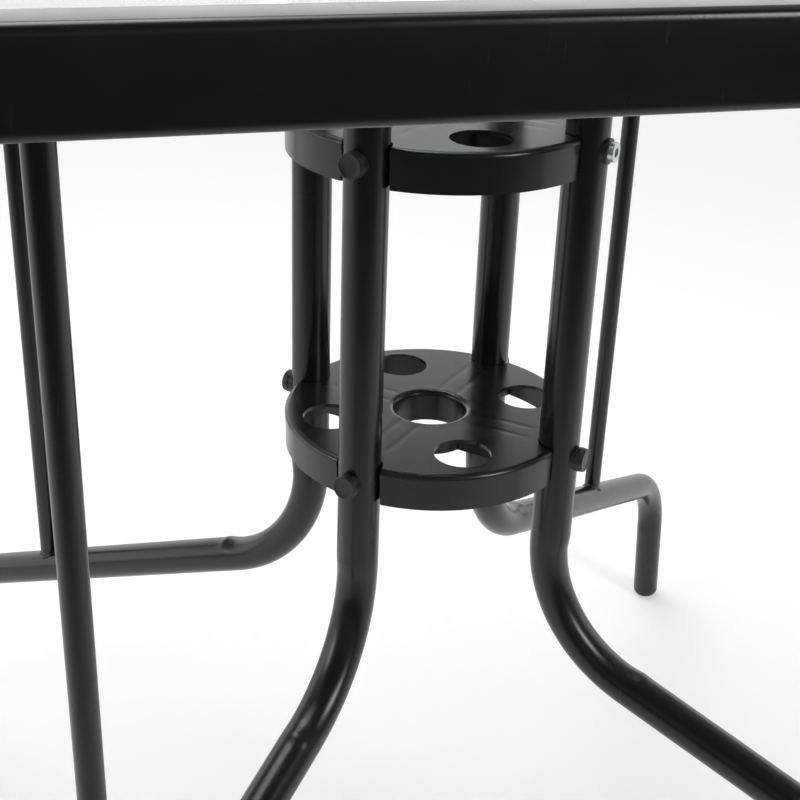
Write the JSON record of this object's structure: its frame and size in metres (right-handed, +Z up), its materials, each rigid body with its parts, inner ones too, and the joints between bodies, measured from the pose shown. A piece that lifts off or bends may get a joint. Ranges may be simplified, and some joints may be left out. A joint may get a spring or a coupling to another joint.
{
  "type": "outdoor dining table",
  "caption": "Square glass-topped outdoor dining table: black bent-tube legs bolted round two moulded discs that guide a parasol pole.",
  "frame": {"origin": "on the floor, under the centre of the square top", "axes": "+Z up along the parasol pole's axis; X and Y along the sides of the top; -Y is the front"},
  "size_m": [0.81, 0.81, 0.7515],
  "materials": {
    "black_steel": "satin black powder coat",
    "disc_plastic": "satin black moulded plastic",
    "black_plastic": "matte black plastic",
    "zinc_steel": "bright zinc plate",
    "clear_glass": "clear tempered glass",
    "soft_pad": "matte"
  },
  "bodies": {
    "root": {"rim_frame": "black_steel", "ledge_front": "black_steel", "ledge_back": "black_steel", "ledge_left": "black_steel", "ledge_right": "black_steel", "glass_top": "clear_glass", "glass_pads": "soft_pad", "parasol_ring": "black_plastic", "parasol_ring_nut": "black_plastic", "leg_front_left": "black_steel", "leg_front_right": "black_steel", "leg_back_left": "black_steel", "leg_back_right": "black_steel", "rod_front_left": "black_steel", "rod_front_right": "black_steel", "rod_back_left": "black_steel", "rod_back_right": "black_steel", "foot_cap_front_left": "black_plastic", "foot_cap_front_right": "black_plastic", "foot_cap_back_left": "black_plastic", "foot_cap_back_right": "black_plastic", "arm_plugs": "black_plastic", "upper_disc": "disc_plastic", "lower_disc": "disc_plastic", "upper_disc_bolts": "zinc_steel", "lower_disc_bolts": "zinc_steel", "upper_disc_nuts": "zinc_steel", "lower_disc_nuts": "zinc_steel", "upper_disc_washers": "black_plastic", "lower_disc_washers": "black_plastic", "upper_bolt_caps": "black_plastic", "lower_bolt_caps": "black_plastic", "rim_bolts": "zinc_steel", "rim_nuts": "zinc_steel", "rim_washers": "black_plastic"}
  },
  "joints": []
}
